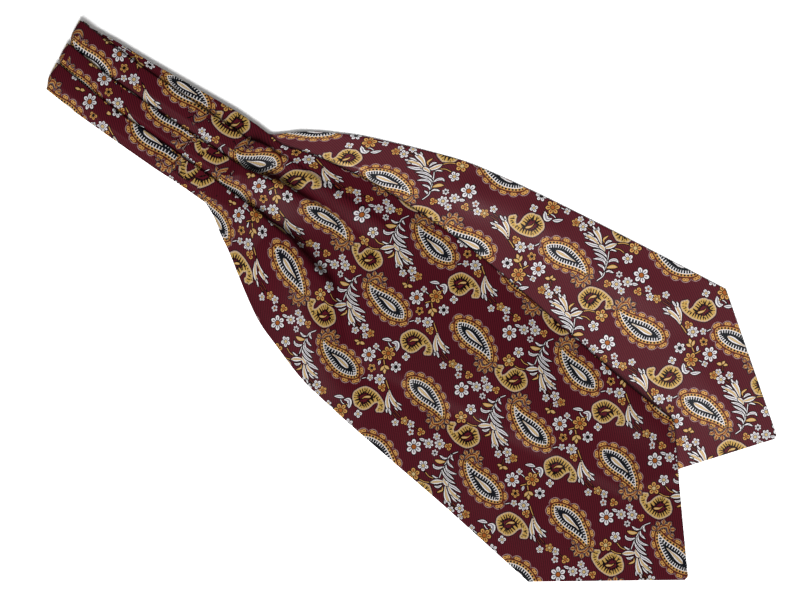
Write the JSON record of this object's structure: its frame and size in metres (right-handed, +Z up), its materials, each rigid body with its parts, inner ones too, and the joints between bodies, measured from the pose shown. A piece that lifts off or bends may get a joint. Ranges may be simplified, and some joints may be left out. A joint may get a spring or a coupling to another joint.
{
  "type": "silk cravat",
  "caption": "Self-tie cravat of woven paisley silk, folded in half at its pleated neckband and laid flat, with its wide pointed blades fanned apart.",
  "frame": {"origin": "on the table, under the middle of the laid-out cravat's box", "axes": "+X from the neck fold towards the blades' points, +Y towards the blade that lies below, +Z up"},
  "size_m": [0.6114, 0.2644, 0.0112],
  "materials": {
    "silk_face": "jacquard twill with a satin sheen",
    "silk_facing": "jacquard twill with a satin sheen"
  },
  "bodies": {
    "root": {"blade_front": "silk_face", "neckband_front": "silk_face", "neckband_back": "silk_facing", "blade_back": "silk_facing"}
  },
  "joints": []
}
